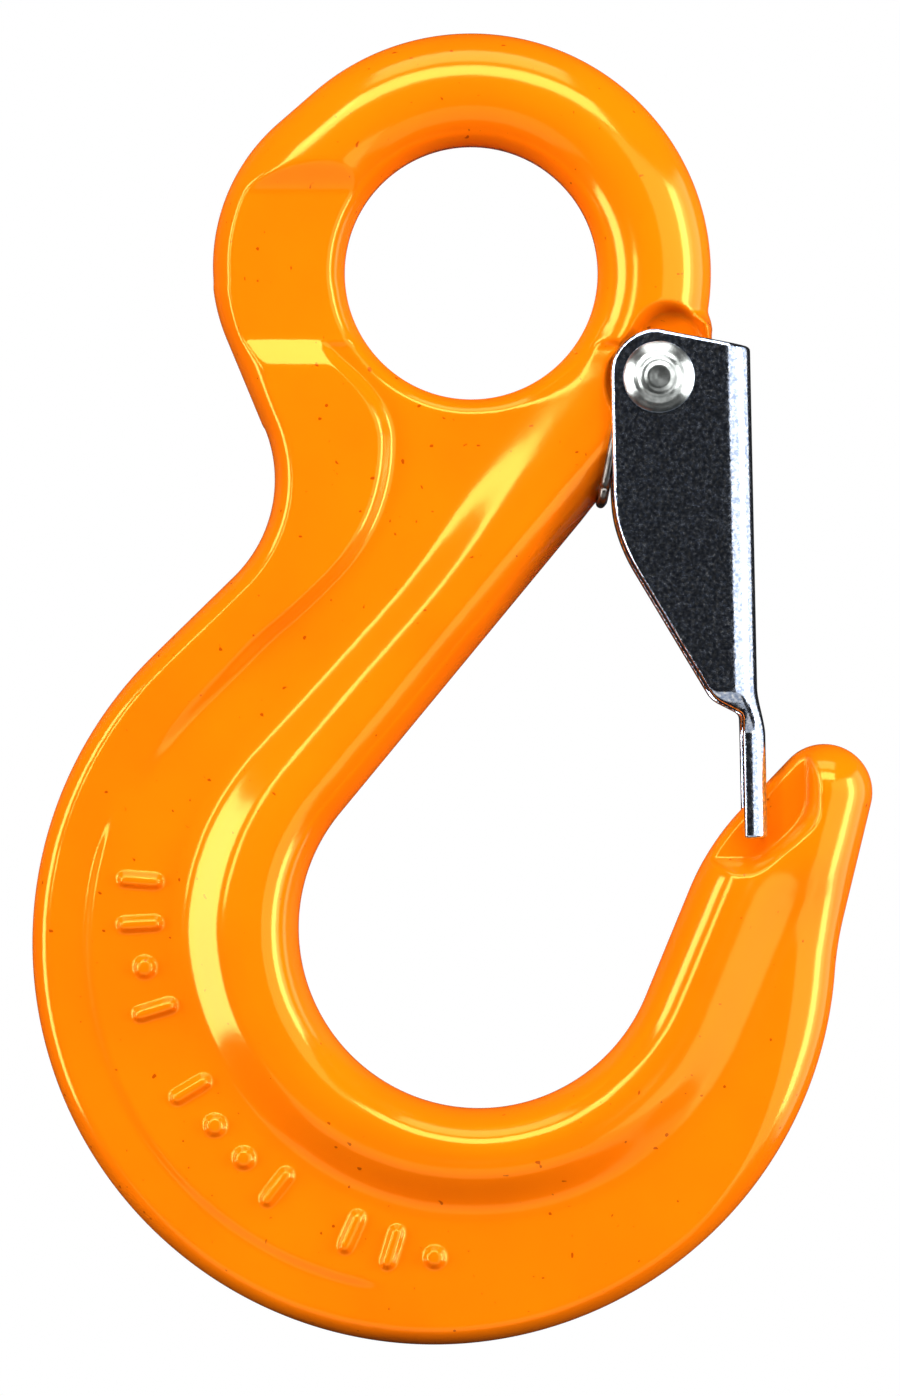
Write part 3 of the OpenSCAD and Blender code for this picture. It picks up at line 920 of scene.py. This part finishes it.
FRAMING = Vector((-0.00038, 0, -0.00147))  # from the object's middle to the picture's
low, high = (Vector(corner) for corner in CAD_BOX)
AIM = (low + high) / 2 + FRAMING
AIM.y = 0
DISTANCE = 1.5
SEEN_HEIGHT = 0.2373  # of the whole picture, at the hook
SENSOR = 24  # mm

cam_data = bpy.data.cameras.new("camera")
cam_data.sensor_fit = "VERTICAL"
cam_data.sensor_height = SENSOR
cam_data.lens = SENSOR * DISTANCE / SEEN_HEIGHT
camera = bpy.data.objects.new("camera", cam_data)
camera.location = AIM + Vector((0, -DISTANCE, 0))
camera.rotation_euler = (math.pi / 2, 0, 0)
bpy.context.scene.collection.objects.link(camera)
bpy.context.scene.camera = camera

FLOOR_DROP, FLOOR_R, FLOOR_SIDES = 0.2, 1.0, 64


def pale_floor():
    """A round floor under the hook that shines a little, and neither lights the hook nor shows in it."""
    z = CAD_BOX[0][2] - FLOOR_DROP
    mesh = bpy.data.meshes.new("floor")
    rim = [polar((0, 0), FLOOR_R, 360 * i / FLOOR_SIDES) for i in range(FLOOR_SIDES)]
    mesh.from_pydata([(x, y, z) for x, y in rim], [], [range(FLOOR_SIDES)])
    mat, shader = material("floor_paint", grey(0.85), metallic=0, roughness=0.9)
    shader.inputs["Emission Color"].default_value = (*grey(1), 1)
    shader.inputs["Emission Strength"].default_value = 0.6
    mesh.materials.append(mat)
    floor = bpy.data.objects.new("floor", mesh)
    bpy.context.scene.collection.objects.link(floor)
    floor.visible_glossy = False
    floor.visible_diffuse = False


pale_floor()


def softbox(name, place, width, height, power, mirrored):
    """A lamp aimed at the hook; one that isn't mirrored doesn't show in the lacquer or the plate."""
    data = bpy.data.lights.new(name, "AREA")
    data.shape = "RECTANGLE"
    data.size, data.size_y = width, height
    data.energy = power
    obj = bpy.data.objects.new(name, data)
    obj.location = place
    obj.rotation_euler = (AIM - Vector(place)).to_track_quat("-Z", "Y").to_euler()
    obj.visible_glossy = mirrored
    bpy.context.scene.collection.objects.link(obj)


SOFTBOXES = [  # name, place, width, height, power and whether it is mirrored
    ("top", (0.0, -0.35, 1.05), 1.0, 0.5, 5, True),
    ("brow", (0.0, -0.93, 0.765), 1.2, 0.42, 13, True),
    ("upper_left", (-0.68, -0.92, 0.38), 0.18, 0.9, 4.5, True),
    ("left", (-1.1, -0.45, -0.05), 0.38, 1.2, 13, True),
    ("right", (1.15, -0.42, -0.05), 0.34, 1.2, 12, True),
    ("back_left", (-0.75, 1.25, 0.35), 1.0, 1.2, 24, False),
    ("back_right", (0.9, 1.1, 0.1), 0.9, 1.2, 18, False),
    ("below", (0.0, -0.84, -0.92), 1.6, 0.7, 2.5, True),
    ("side", (1.2, 0.12, -0.07), 0.8, 1.4, 6, True),
    ("card", (1.0, -0.75, -0.07), 1.7, 1.4, 13, True),
]
for lamp in SOFTBOXES:
    softbox(*lamp)

DIM = 0.02


def studio_world():
    """White to look at, and dim in what it lights and what is mirrored of it."""
    world = bpy.data.worlds.new("studio")
    bpy.context.scene.world = world
    world.use_nodes = True
    nodes, links = world.node_tree.nodes, world.node_tree.links
    seen = nodes.new("ShaderNodeBackground")
    seen.inputs["Color"].default_value = (*grey(1), 1)
    dim = nodes["Background"]
    dim.inputs["Color"].default_value = (*grey(1), 1)
    dim.inputs["Strength"].default_value = DIM
    path = nodes.new("ShaderNodeLightPath")
    either = nodes.new("ShaderNodeMixShader")
    links.new(path.outputs["Is Camera Ray"], either.inputs["Fac"])
    links.new(dim.outputs["Background"], either.inputs[1])
    links.new(seen.outputs["Background"], either.inputs[2])
    links.new(either.outputs["Shader"], nodes["World Output"].inputs["Surface"])


studio_world()
bpy.context.scene.view_settings.view_transform = "Standard"
